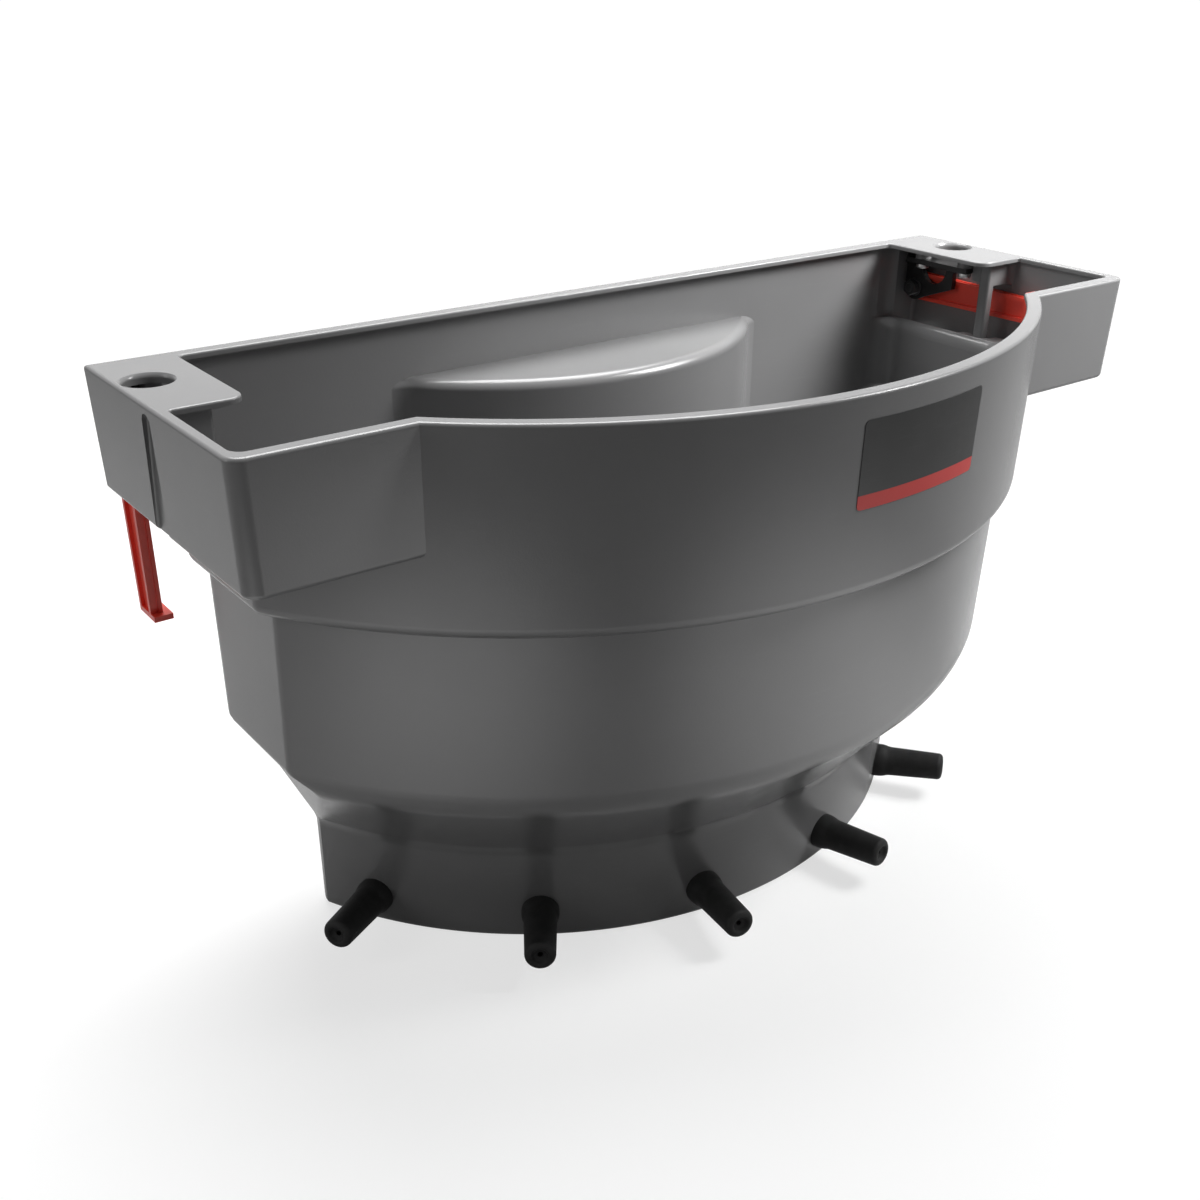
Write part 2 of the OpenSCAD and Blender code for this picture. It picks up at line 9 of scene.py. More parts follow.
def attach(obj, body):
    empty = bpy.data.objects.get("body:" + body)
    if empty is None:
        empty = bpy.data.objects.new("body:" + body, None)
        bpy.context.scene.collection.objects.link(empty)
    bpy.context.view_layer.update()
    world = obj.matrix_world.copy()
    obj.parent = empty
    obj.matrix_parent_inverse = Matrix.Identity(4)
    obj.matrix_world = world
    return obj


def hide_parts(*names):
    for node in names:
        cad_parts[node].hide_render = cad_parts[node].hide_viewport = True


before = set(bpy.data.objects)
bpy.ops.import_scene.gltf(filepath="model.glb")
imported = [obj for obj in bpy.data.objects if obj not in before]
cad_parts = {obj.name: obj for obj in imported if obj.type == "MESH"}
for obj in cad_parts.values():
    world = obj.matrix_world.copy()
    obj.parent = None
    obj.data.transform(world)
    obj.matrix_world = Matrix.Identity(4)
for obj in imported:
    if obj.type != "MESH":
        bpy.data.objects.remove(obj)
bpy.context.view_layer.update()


# Tub: one grey plastic moulding that holds the milk, with a flat back and a front curved about an upright
# axis. It steps in twice on its way down, and each end carries a wing with the pocket of a lock arm.
rim_z = 0.332
above_rim = 0.340
back_y = 0.128
arc_y = 0.184
arc_steps = 96
half_length = 0.300
tub_wall = 0.004
tub_ends = (-1, 1)


def soften(bm, geom, width, segments, affect="EDGES"):
    """Rounds some edges, or some corners of a flat outline."""
    bmesh.ops.bevel(bm, geom=geom, offset=width, offset_type="OFFSET", segments=segments, profile=0.5,
                    affect=affect, material=-1)


def chain(bm, verts):
    """Joins each vertex of a line to the next."""
    for pair in zip(verts, verts[1:]):
        bm.edges.new(pair)


def swept_arc(bm, start, centre, angle, steps=arc_steps):
    """Carries a line on from a vertex along an arc about an upright axis, and gives its last vertex."""
    swept = bmesh.ops.spin(bm, geom=[start], cent=(*centre, 0), axis=(0, 0, 1), angle=angle, steps=steps)
    return [v for v in swept["geom_last"] if isinstance(v, bmesh.types.BMVert)][0]


def draw_out(bm, faces, along):
    """Makes a solid from flat faces by drawing them out in one direction."""
    out = bmesh.ops.extrude_face_region(bm, geom=faces)["geom"]
    bmesh.ops.translate(bm, vec=along, verts=[g for g in out if isinstance(g, bmesh.types.BMVert)])
    bmesh.ops.recalc_face_normals(bm, faces=bm.faces)


def tier_loop(bm, radius, half, z, wall):
    """Outline of the tub at one height: curved front, straight ends and a flat back with round corners.

    It lies on the outside, or a wall's thickness further in. The back leans in below the shoulder."""
    shoulder_half, lean_back, lean_in = 0.2585, 28, 33.5
    back_corner, front_corner = 0.020, 0.0024
    before = set(bm.edges)
    reach = max(0.0, shoulder_half - half - wall)
    back = back_y - reach * lean_back / lean_in - wall
    first = bm.verts.new((-half, arc_y - math.sqrt(radius ** 2 - half ** 2), z))
    last = swept_arc(bm, first, (0, arc_y), 2 * math.asin(half / radius))
    corners = [bm.verts.new((half, back, z)), bm.verts.new((-half, back, z))]
    chain(bm, [last, *corners, first])
    soften(bm, corners, back_corner - wall, 8, "VERTICES")
    soften(bm, [first, last], front_corner, 4, "VERTICES")
    return [e for e in bm.edges if e not in before]


def eased_line(points):
    """Heights and sizes along a line of (size, height, softness) points, with its corners rounded."""
    bm = bmesh.new()
    line = [bm.verts.new((size, 0, z)) for size, z, softness in points]
    chain(bm, line)
    for vert, (size, z, softness) in zip(line, points):
        if softness:
            soften(bm, [vert], softness, 6, "VERTICES")
    steps = sorted((v.co.z, v.co.x) for v in bm.verts)
    bm.free()
    return [z for z, size in steps], [size for z, size in steps]


def tier_form(front, end, wall=0.0):
    """Solid with the tub's tiers: one line gives the plan radius of the front, one the half length."""
    level_gap = 0.0003
    front_z, radii = eased_line(front)
    end_z, halves = eased_line(end)
    levels = []
    for z in sorted(front_z + end_z):
        if not levels or z - levels[-1] > level_gap:
            levels.append(z)
    bm = bmesh.new()
    loops = [tier_loop(bm, interp(z, front_z, radii), interp(z, end_z, halves), z, wall) for z in levels]
    for lower, upper in zip(loops, loops[1:]):
        bmesh.ops.bridge_loops(bm, edges=lower + upper)
    for loop in (loops[0], loops[-1]):
        bmesh.ops.contextual_create(bm, geom=loop)
    bmesh.ops.recalc_face_normals(bm, faces=bm.faces)
    return bm


def as_piece(name, bm):
    """Object with a bmesh's shape, in the scene."""
    mesh = bpy.data.meshes.new(name)
    bm.to_mesh(mesh)
    bm.free()
    piece = bpy.data.objects.new(name, mesh)
    bpy.context.scene.collection.objects.link(piece)
    return piece


def combine(piece, tool_bm, operation):
    """Joins a shape to a piece, cuts it out or keeps what both share, and then drops the shape."""
    tool = as_piece("tool", tool_bm)
    modifier = piece.modifiers.new("combine", "BOOLEAN")
    modifier.operation = operation
    modifier.solver = "EXACT"
    modifier.object = tool
    settle(piece)
    bpy.data.objects.remove(tool)


def settle(piece):
    """Takes a piece's modifiers into its mesh."""
    graph = bpy.context.evaluated_depsgraph_get()
    mesh = bpy.data.meshes.new_from_object(piece.evaluated_get(graph))
    piece.modifiers.clear()
    piece.data = mesh


def block(low, high, softness=0.0, chosen=None):
    """Box from one corner to the other, with chosen edges rounded."""
    bm = bmesh.new()
    bmesh.ops.create_cube(bm, size=1.0)
    low, high = Vector(low), Vector(high)
    bmesh.ops.scale(bm, vec=high - low, verts=bm.verts)
    bmesh.ops.translate(bm, vec=(low + high) / 2, verts=bm.verts)
    if softness:
        soften(bm, [e for e in bm.edges if chosen(e)], softness, 5)
    return bm


def upright(edge):
    """True for an edge that goes up."""
    return abs(edge.verts[0].co.z - edge.verts[1].co.z) > 1e-4


def mirrored(bm, side):
    """The shape as drawn for the right end, or turned over for the left end."""
    if side < 0:
        bmesh.ops.scale(bm, vec=(-1, 1, 1), verts=bm.verts)
        bmesh.ops.reverse_faces(bm, faces=bm.faces)
    return bm


def wing_form():
    """Right wing: drafted box with a round front corner and soft edges underneath."""
    root_x, front_y, foot_z = 0.19, -0.044, 0.2675
    past_root, near_back = root_x + 0.01, back_y - 0.008
    foot_draft, top_draft = 0.0017, -0.0002
    bm = block((root_x, front_y, foot_z), (half_length, back_y, above_rim))
    for vert in bm.verts:
        draft = foot_draft if vert.co.z < rim_z else top_draft
        vert.co.x -= draft if vert.co.x > past_root else 0.0
        vert.co.y += draft if vert.co.y < 0.0 else 0.0
    corner = [e for e in bm.edges if upright(e) and all(v.co.x > past_root and v.co.y < 0 for v in e.verts)]
    soften(bm, corner, 0.008, 8)
    under = [e for e in bm.edges if all(v.co.z < rim_z for v in e.verts)
             and not all(v.co.y > near_back for v in e.verts) and not all(v.co.x < past_root for v in e.verts)]
    soften(bm, under, 0.003, 5)
    return bm


def drum(radius, low_z, high_z, centre, segments, softness=0.0):
    """Upright round whose top edge may be soft."""
    bm = bmesh.new()
    rim = bmesh.ops.create_circle(bm, cap_ends=True, radius=radius, segments=segments)["verts"]
    bmesh.ops.translate(bm, vec=(centre[0], centre[1], low_z), verts=rim)
    draw_out(bm, list(bm.faces), (0, 0, high_z - low_z))
    if softness:
        top = [e for e in bm.edges if all(v.co.z > high_z - 1e-6 for v in e.verts)]
        soften(bm, top, softness, 6)
    return bm


def ledge_form(radius, middle_y, wall_y, blend, low_z, high_z, softness):
    """Crescent ledge against the back wall: its ends run out softly and its top edge is round."""
    bm = bmesh.new()
    side_x = math.sqrt((radius + blend) ** 2 - (middle_y - wall_y + blend) ** 2)
    sweep = math.asin(side_x / (radius + blend))
    vert = first = bm.verts.new((-side_x, wall_y, low_z))
    for centre, turn, steps in (((-side_x, wall_y - blend), -sweep, 10), ((0, middle_y), 2 * sweep, 80),
                                ((side_x, wall_y - blend), -sweep, 10)):
        vert = swept_arc(bm, vert, centre, turn, steps)
    behind_y = wall_y + 0.03
    behind = [bm.verts.new((side_x, behind_y, low_z)), bm.verts.new((-side_x, behind_y, low_z))]
    chain(bm, [vert, *behind, first])
    draw_out(bm, bmesh.ops.contextual_create(bm, geom=list(bm.edges))["faces"], (0, 0, high_z - low_z))
    top = [e for e in bm.edges if all(v.co.z > high_z - 1e-6 and v.co.y < wall_y + 1e-5 for v in e.verts)]
    soften(bm, top, softness, 8)
    return bm


def mouth_form():
    """Opening of the rim: curved front, open front of each wing and the edges of the two top plates."""
    bm = bmesh.new()
    radius, low_z, depth = 0.3033, 0.3205, 0.03
    front, plate_front, back = -0.0353, 0.035, 0.1185
    wing_side, plate_side = 0.2938, 0.2566
    reach = math.sqrt(radius ** 2 - (arc_y - front) ** 2)
    first = bm.verts.new((-reach, front, low_z))
    last = swept_arc(bm, first, (0, arc_y), 2 * math.asin(reach / radius))
    right_end = ((wing_side, front, 0.006), (wing_side, plate_front, 0.002), (plate_side, plate_front, 0.009),
                 (plate_side, back, 0.003))
    left_end = [(-x, y, softness) for x, y, softness in reversed(right_end)]
    corners = [(bm.verts.new((x, y, low_z)), softness) for x, y, softness in (*right_end, *left_end)]
    chain(bm, [last, *(vert for vert, softness in corners), first])
    for vert, softness in corners:
        soften(bm, [vert], softness, 6, "VERTICES")
    draw_out(bm, bmesh.ops.contextual_create(bm, geom=list(bm.edges))["faces"], (0, 0, depth))
    return bm


# Lines of the tiers from the foot up: (plan radius or half length, height, softness of the corner).
front_outside = ((0.2460, 0.0, 0), (0.2475, 0.063, 0.005), (0.2974, 0.1215, 0.010), (0.3005, 0.2241, 0.0015),
                 (0.3095, 0.2249, 0.007), (0.3123, 0.340, 0))
end_outside = ((0.2245, 0.0, 0), (0.2250, 0.063, 0.005), (0.2475, 0.1165, 0.006), (0.2585, 0.1285, 0.003),
               (0.2585, 0.2241, 0.0015), (0.2680, 0.2249, 0.006), (0.2712, 0.340, 0))
front_inside = ((0.2420, 0.005, 0), (0.2435, 0.063, 0.007), (0.2934, 0.1215, 0.006), (0.2965, 0.2281, 0.003),
                (0.3055, 0.2289, 0.003), (0.3078, 0.329, 0))
end_inside = ((0.2205, 0.005, 0), (0.2210, 0.063, 0.007), (0.2435, 0.1185, 0.006), (0.2545, 0.1305, 0.003),
              (0.2545, 0.2281, 0.003), (0.2640, 0.2289, 0.003), (0.2668, 0.329, 0))
outside = tier_form(front_outside, end_outside)
foot = [e for e in outside.edges if all(v.co.z < 1e-6 for v in e.verts)]
soften(outside, foot, 0.004, 4)
tub = as_piece("tub_moulding", outside)
for side in tub_ends:
    combine(tub, mirrored(wing_form(), side), "UNION")
ledge_radius, ledge_middle, ledge_z = 0.170, 0.232, 0.298
below_foot = -0.010
inside_back = back_y - tub_wall
inside = as_piece("tub_inside", tier_form(front_inside, end_inside, tub_wall))
ledge = ledge_form(ledge_radius, ledge_middle, inside_back + 0.0005, 0.022, below_foot, ledge_z, 0.006)
combine(inside, ledge, "DIFFERENCE")


def taken_from(piece):
    """The shape of a piece that is needed no longer."""
    bm = bmesh.new()
    bm.from_mesh(piece.data)
    bpy.data.objects.remove(piece)
    return bm


hollow = taken_from(inside)
cove = [e for e in hollow.edges
        if all(abs(v.co.y - inside_back) < 1e-5 and abs(v.co.z - ledge_z) < 1e-5 for v in e.verts)]
soften(hollow, cove, 0.005, 6)
combine(tub, hollow, "DIFFERENCE")
all_below_rim = block((-0.4, -0.4, -0.1), (0.4, 0.4, rim_z))
combine(tub, all_below_rim, "INTERSECT")
combine(tub, mouth_form(), "DIFFERENCE")
recess = drum(ledge_radius - tub_wall, below_foot, ledge_z - tub_wall, (0, ledge_middle), 192, 0.004)
combine(tub, recess, "DIFFERENCE")
sill_z = 0.279


def end_cut(front, end, low, high):
    """Tool that follows the inside of the tub's right end, kept within a box."""
    piece = as_piece("end_tool", tier_form(front, end, tub_wall))
    combine(piece, block(low, high), "INTERSECT")
    return taken_from(piece)


def sill_form():
    """Broad round edge of the sill, along the tub's end and the wing's open front."""
    width, drop, over = 0.006, 0.0085, 0.0015
    turns = [math.radians(15 * step) for step in range(7)]
    edge = [(width * (1 - math.cos(t)), sill_z - drop + drop * math.sin(t)) for t in turns] + [(width, sill_z + over)]
    front = [(0.3063 + across, z, 0) for across, z in edge]
    end = [(0.2652 + across, z, 0) for across, z in edge]
    return end_cut(front, end, (0.226, -0.0352, 0.2702), (0.29, 0.2, 0.2802))


def window_form():
    """Opening above the sill from the tub into the arm's pocket."""
    head_z, radius, half = 0.327, 0.31, 0.278
    return end_cut(((radius, sill_z, 0), (radius, head_z, 0)), ((half, sill_z, 0), (half, head_z, 0)),
                   (0.255, 0.0395, 0.27), (0.29, 0.2, 0.34))


def groove_form():
    """Shallow groove down the wing's end with a round head, wider at its foot."""
    bottom_x = 0.2965
    bm = bmesh.new()
    corners = [bm.verts.new((bottom_x, y, z)) for y, z in
               ((0.0455, 0.260), (0.0630, 0.260), (0.0535, 0.3275), (0.0440, 0.3275))]
    chain(bm, corners + corners[:1])
    soften(bm, corners[2:], 0.004, 6, "VERTICES")
    draw_out(bm, bmesh.ops.contextual_create(bm, geom=list(bm.edges))["faces"], (0.01, 0, 0))
    bottom = [e for e in bm.edges if all(v.co.x < bottom_x + 0.0005 for v in e.verts)]
    soften(bm, bottom, 0.0014, 4)
    return bm


def hole_form():
    """Round hole of the top plate with a soft upper edge."""
    bm = bmesh.new()
    line = [bm.verts.new((radius, 0, z)) for radius, z in
            ((0, 0.3268), (0.012, 0.3268), (0.012, 0.3306), (0.0134, 0.3321), (0.016, 0.334), (0, 0.334))]
    chain(bm, line)
    soften(bm, [line[2]], 0.001, 4, "VERTICES")
    bmesh.ops.spin(bm, geom=list(bm.verts) + list(bm.edges), cent=(0, 0, 0), axis=(0, 0, 1),
                   angle=2 * math.pi, steps=64, use_merge=True)
    bmesh.ops.remove_doubles(bm, verts=bm.verts, dist=1e-6)
    bmesh.ops.recalc_face_normals(bm, faces=bm.faces)
    bmesh.ops.translate(bm, vec=(0.2844, 0.085, 0), verts=bm.verts)
    return bm


pocket_side = 0.2945
below_wing = 0.260
boss_places = ((0.2771, 0.0661), (0.2771, 0.1039))
boss_radius, screw_hole = 0.0055, 0.00254
boss_top = 0.3295
for side in tub_ends:
    compartment = block((0.205, -0.040, sill_z), (pocket_side, 0.0405, 0.329), 0.004, upright)
    pocket = block((0.271, 0.060, below_wing), (pocket_side, 0.124, 0.327), 0.003, upright)
    passage = block((0.2765, 0.038, below_wing), (pocket_side, 0.062, 0.314), 0.002, lambda e: not upright(e))
    slot = block((0.2831, 0.010, below_wing), (pocket_side, 0.040, 0.284), 0.003, upright)
    for tool in (compartment, pocket, passage, slot, sill_form(), window_form(), groove_form(), hole_form()):
        combine(tub, mirrored(tool, side), "DIFFERENCE")
    pillar = block((0.2715, 0.0405, 0.2765), (0.2785, 0.049, 0.3305), 0.0022, upright)
    combine(tub, mirrored(pillar, side), "UNION")
    for place in boss_places:
        combine(tub, mirrored(drum(boss_radius, 0.322, boss_top, place, 48), side), "UNION")
        combine(tub, mirrored(drum(screw_hole, 0.315, boss_top, place, 32), side), "DIFFERENCE")


def shade(piece, angle=32.0):
    """Smooth shading that breaks only at sharp corners and stays flat on flat faces."""
    for face in piece.data.polygons:
        face.use_smooth = True
    piece.data.set_sharp_from_angle(angle=math.radians(angle))
    flat = piece.modifiers.new("flat faces", "WEIGHTED_NORMAL")
    flat.keep_sharp = True


trim = bmesh.new()
trim.from_mesh(tub.data)
bmesh.ops.remove_doubles(trim, verts=trim.verts, dist=2e-6)
bmesh.ops.dissolve_limit(trim, angle_limit=math.radians(0.2), verts=trim.verts, edges=trim.edges)
lip = [e for e in trim.edges if all(v.co.z > rim_z - 1e-5 for v in e.verts)
       and len(e.link_faces) == 2 and e.calc_face_angle() > math.radians(55)]


def faces_out(edge):
    """True for the outer edges of the rim, whose wall looks away from the middle of the tub."""
    side_face = min(edge.link_faces, key=lambda f: abs(f.normal.z))
    middle = (edge.verts[0].co + edge.verts[1].co) / 2
    return side_face.normal.xy.dot(middle.xy) > 0


outer = [e for e in lip if faces_out(e)]
inner = [e for e in lip if not faces_out(e)]
soften(trim, inner, 0.0012, 3)
outer = [e for e in outer if e.is_valid]
soften(trim, outer, 0.002, 5)
trim.to_mesh(tub.data)
trim.free()


def moulded(name, dark, light, roughness, clouds, grain, depth, gloss, worn):
    """Moulded finish: cloudy colour, slightly patchy gloss, a fine grain and faint paler scuffs."""
    finish = bpy.data.materials.new(name)
    finish.use_nodes = True
    nodes, links = finish.node_tree.nodes, finish.node_tree.links
    shader = nodes["Principled BSDF"]
    shader.inputs["Specular IOR Level"].default_value = gloss
    place = nodes.new("ShaderNodeTexCoord")

    def noise(scale, detail, stretch=None):
        texture = nodes.new("ShaderNodeTexNoise")
        texture.inputs["Scale"].default_value = scale
        texture.inputs["Detail"].default_value = detail
        source = place.outputs["Object"]
        if stretch:
            mapping = nodes.new("ShaderNodeMapping")
            mapping.inputs["Scale"].default_value = stretch
            links.new(source, mapping.inputs["Vector"])
            source = mapping.outputs["Vector"]
        links.new(source, texture.inputs["Vector"])
        return texture.outputs["Fac"]

    def between(value, low, high, from_low=0.0, from_high=1.0):
        stretch = nodes.new("ShaderNodeMapRange")
        stretch.inputs["From Min"].default_value = from_low
        stretch.inputs["From Max"].default_value = from_high
        stretch.inputs["To Min"].default_value = low
        stretch.inputs["To Max"].default_value = high
        links.new(value, stretch.inputs["Value"])
        return stretch.outputs["Result"]

    def mix(factor, first, second):
        blend = nodes.new("ShaderNodeMix")
        blend.data_type = "RGBA"
        links.new(factor, blend.inputs["Factor"])
        for socket, value in ((blend.inputs["A"], first), (blend.inputs["B"], second)):
            if isinstance(value, tuple):
                socket.default_value = (*value, 1.0)
            else:
                links.new(value, socket)
        return blend.outputs["Result"]

    patchiness, dulling = 0.02, 0.05
    cloudy = mix(between(noise(clouds, 5.0), 0.0, 1.0, 0.3, 0.7), dark, light)
    scuff = between(noise(1.0, 3.0, (38.0, 38.0, 420.0)), 0.0, 0.20, 0.62, 0.80)
    links.new(mix(scuff, cloudy, worn), shader.inputs["Base Color"])
    patches = nodes.new("ShaderNodeMath")
    patches.operation = "ADD"
    gloss_clouds = noise(clouds * 5, 4.0)
    links.new(between(gloss_clouds, roughness - patchiness, roughness + patchiness, 0.3, 0.7), patches.inputs[0])
    links.new(between(scuff, 0.0, dulling), patches.inputs[1])
    links.new(patches.outputs["Value"], shader.inputs["Roughness"])
    bump = nodes.new("ShaderNodeBump")
    bump.inputs["Strength"].default_value = 0.35
    bump.inputs["Distance"].default_value = depth
    links.new(noise(grain, 3.0), bump.inputs["Height"])
    links.new(bump.outputs["Normal"], shader.inputs["Normal"])
    return finish


tub_grey = moulded("grey_tub_plastic", (0.165, 0.165, 0.166), (0.185, 0.185, 0.186), roughness=0.235, clouds=7.0,
                   grain=900.0, depth=0.00012, gloss=0.5, worn=(0.20, 0.20, 0.20))
tub.data.materials.clear()
tub.data.materials.append(tub_grey)
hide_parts("tub")
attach(tub, "feeder")


# Teats: six black rubber teats round the lowest tier. Each is pulled through a hole in the wall, so a
# flange sits inside, a neck in the hole and a collar outside; a channel leads the milk to a hole in the tip.
teat_count = 6
teat_tilt = math.radians(4)
teat_z = 0.0195
teat_wall_radius = 0.24647
outer_teat_x = 0.2077
neck_radius, hole_radius = 0.007, 0.00704
teat_spread = math.asin(outer_teat_x / teat_wall_radius)


def spun(outline, softness, steps, turn=2 * math.pi):
    """Solid turned from a closed outline of (radius, height) points, with some of its corners rounded."""
    bm = bmesh.new()
    line = [bm.verts.new((radius, 0, z)) for radius, z in outline]
    chain(bm, line + line[:1])
    for index, amount in softness.items():
        soften(bm, [line[index]], amount, 5, "VERTICES")
    bmesh.ops.spin(bm, geom=list(bm.verts) + list(bm.edges), cent=(0, 0, 0), axis=(0, 0, 1), angle=turn,
                   steps=steps, use_merge=abs(turn - 2 * math.pi) < 1e-6)
    bmesh.ops.remove_doubles(bm, verts=bm.verts, dist=1e-7)
    bmesh.ops.recalc_face_normals(bm, faces=bm.faces)
    return bm


def teat_swing(index):
    """Turn about the tub's axis that takes the middle of the front to one of the six teats."""
    turn = teat_spread * (2 * index / (teat_count - 1) - 1)
    return (Matrix.Translation((0, arc_y, 0)) @ Matrix.Rotation(turn, 4, "Z")
            @ Matrix.Translation((0, -arc_y, 0)))


teat_axis = (Matrix.Translation((0, arc_y - teat_wall_radius, teat_z))
             @ Matrix.Rotation(math.pi / 2 - teat_tilt, 4, "X"))
teat_outline = ((0.004, -0.008), (0.013, -0.008), (0.013, -0.002), (0.011, -0.002), (0.011, 0.0052),
                (0.0097, 0.0088), (0.0088, 0.045), (0.0050, 0.0451), (0.0038, 0.0432), (0.0016, 0.0424),
                (0.0016, 0.039), (0.004, 0.039))
teat_body = spun(teat_outline, {1: 0.001, 4: 0.0026, 5: 0.0018, 6: 0.0028, 7: 0.0007, 8: 0.0007}, 48)
bmesh.ops.transform(teat_body, matrix=teat_axis, verts=teat_body.verts)
# A strip of the wall, less the neck, is cut from the pattern, so the flange and collar hug the curved wall.
wall_band = spun(((0.24196, 0.0055), (0.24604, 0.004), (0.24744, 0.058), (0.24336, 0.058)), {}, 12,
                 math.radians(12))
bmesh.ops.holes_fill(wall_band, edges=wall_band.edges, sides=8)
bmesh.ops.recalc_face_normals(wall_band, faces=wall_band.faces)
bmesh.ops.transform(wall_band, verts=wall_band.verts,
                    matrix=Matrix.Translation((0, arc_y, 0)) @ Matrix.Rotation(math.radians(-96), 4, "Z"))
neck = spun(((0.0, -0.02), (neck_radius, -0.02), (neck_radius, 0.02), (0.0, 0.02)), {}, 48)
bmesh.ops.transform(neck, matrix=teat_axis, verts=neck.verts)
band = as_piece("wall_band", wall_band)
combine(band, neck, "DIFFERENCE")
for index in range(teat_count):
    hole = spun(((0.0, -0.012), (hole_radius, -0.012), (hole_radius, 0.012), (0.0, 0.012)), {}, 48)
    bmesh.ops.transform(hole, verts=hole.verts, matrix=teat_swing(index) @ teat_axis)
    combine(tub, hole, "DIFFERENCE")
shade(tub)
first_teat = as_piece("teat_pattern", teat_body)
combine(first_teat, taken_from(band), "DIFFERENCE")
rubber = moulded("black_teat_rubber", (0.008, 0.008, 0.008), (0.014, 0.014, 0.014), roughness=0.62, clouds=160.0,
                 grain=2600.0, depth=0.00010, gloss=0.2, worn=(0.022, 0.022, 0.022))
for index in range(teat_count):
    bm = bmesh.new()
    bm.from_mesh(first_teat.data)
    bmesh.ops.transform(bm, verts=bm.verts, matrix=teat_swing(index))
    teat = as_piece("rubber_teat_%d" % (index + 1), bm)
    shade(teat, 40.0)
    teat.data.materials.append(rubber)
    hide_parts("teat_%d" % (index + 1))
    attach(teat, "feeder")
bpy.data.objects.remove(first_teat)


# Pivot brackets: a black moulded bracket hangs under each top plate on two screws. Its cheek carries the
# arm's bolt and has a round-bottomed window.
def eased(node, name, width):
    """Copy of a CAD piece with merged faces and softly broken edges."""
    bm = bmesh.new()
    bm.from_mesh(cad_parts[node].data)
    bmesh.ops.remove_doubles(bm, verts=bm.verts, dist=2e-6)
    bmesh.ops.dissolve_limit(bm, angle_limit=math.radians(0.5), verts=bm.verts, edges=bm.edges)
    piece = as_piece(name, bm)
    piece.data.materials.clear()
    for face in piece.data.polygons:
        face.use_smooth = True
    soft = piece.modifiers.new("broken edges", "BEVEL")
    soft.width = width
    soft.segments = 2
    soft.limit_method = "ANGLE"
    soft.angle_limit = math.radians(40)
    soft.use_clamp_overlap = True
    flat = piece.modifiers.new("flat faces", "WEIGHTED_NORMAL")
    flat.keep_sharp = True
    return piece


bracket_black = moulded("black_bracket_plastic", (0.010, 0.010, 0.010), (0.016, 0.016, 0.016), roughness=0.34,
                        clouds=60.0, grain=1600.0, depth=0.00006, gloss=0.5, worn=(0.04, 0.04, 0.04))
for end in ("left", "right"):
    bracket = eased("pivot_bracket_" + end, "bracket_" + end, 0.0006)
    bracket.data.materials.append(bracket_black)
    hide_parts("pivot_bracket_" + end)
    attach(bracket, "feeder")


# Bracket screws: two zinc-plated pan-head screws at each end, driven up through the bracket's flange into
# the bosses under the plate.
zinc = moulded("zinc_plate", (0.50, 0.50, 0.49), (0.60, 0.60, 0.60), roughness=0.335, clouds=300.0, grain=3200.0,
               depth=0.00003, gloss=0.5, worn=(0.72, 0.72, 0.72))
zinc.node_tree.nodes["Principled BSDF"].inputs["Metallic"].default_value = 1.0
for end in ("left", "right"):
    screws = eased("bracket_screws_" + end, "screws_" + end, 0.0008)
    screws.data.materials.append(zinc)
    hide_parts("bracket_screws_" + end)
    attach(screws, "feeder")


# Lock arms: glossy red arms of I section with a hub, a grooved front flange and a foot plate. The left one
# hangs through its pocket and the right one is swung up level.
arm_red = moulded("red_arm_plastic", (0.79, 0.060, 0.036), (0.84, 0.068, 0.040), roughness=0.335, clouds=14.0,
                  grain=1400.0, depth=0.00006, gloss=0.5, worn=(0.86, 0.100, 0.065))
for end in ("left", "right"):
    arm = eased("lock_arm_" + end, "arm_" + end, 0.0005)
    arm.data.materials.append(arm_red)
    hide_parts("lock_arm_" + end)
    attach(arm, "arm_" + end)


# Pivot hardware: a flat-headed steel bolt goes in from the arm's outer side and is held by a lock nut inside
# the cheek, with a washer between the nut and the cheek. All three are blackened.
black_steel = moulded("blackened_steel", (0.016, 0.016, 0.017), (0.026, 0.026, 0.027), roughness=0.40,
                      clouds=300.0, grain=3200.0, depth=0.00003, gloss=0.6, worn=(0.10, 0.10, 0.10))
for end in ("left", "right"):
    for kind, width in (("pivot_bolt_", 0.0004), ("pivot_washer_", 0.0002), ("pivot_nut_", 0.0005)):
        steel = eased(kind + end, kind[6:] + end, width)
        steel.data.materials.append(black_steel)
        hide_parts(kind + end)
        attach(steel, "feeder")


# Label: a thin blank vinyl label with round corners, stuck to the front of the top tier. It is plain dark
# film with one plain red band along its foot.
label_left, label_width, label_foot, label_head = -0.0218, 0.0937, 0.273, 0.319
label_cuts, label_gap, label_film, label_radius = 24, 0.0001, 0.0002, 0.312
label_right = label_left + label_width
film = bmesh.new()
corners = [film.verts.new((x, 0, z)) for x, z in ((label_left, label_foot), (label_right, label_foot),
                                                  (label_right, label_head), (label_left, label_head))]
chain(film, corners + corners[:1])
soften(film, corners, 0.0025, 6, "VERTICES")
bmesh.ops.contextual_create(film, geom=list(film.edges))
for cut in range(1, label_cuts):
    across = label_left + cut * label_width / label_cuts
    bmesh.ops.bisect_plane(film, geom=[*film.verts, *film.edges, *film.faces], dist=1e-7,
                           plane_co=(across, 0, 0), plane_no=(1, 0, 0))
(step_radius, step_z, _), (top_radius, top_z, _) = front_outside[-2:]
for vert in film.verts:
    reach = interp(vert.co.z, (step_z, top_z), (step_radius, top_radius)) + label_gap
    angle = vert.co.x / label_radius
    vert.co = (reach * math.sin(angle), arc_y - reach * math.cos(angle), vert.co.z)
bmesh.ops.recalc_face_normals(film, faces=film.faces)
if film.faces[:][0].normal.y > 0:
    bmesh.ops.reverse_faces(film, faces=film.faces)
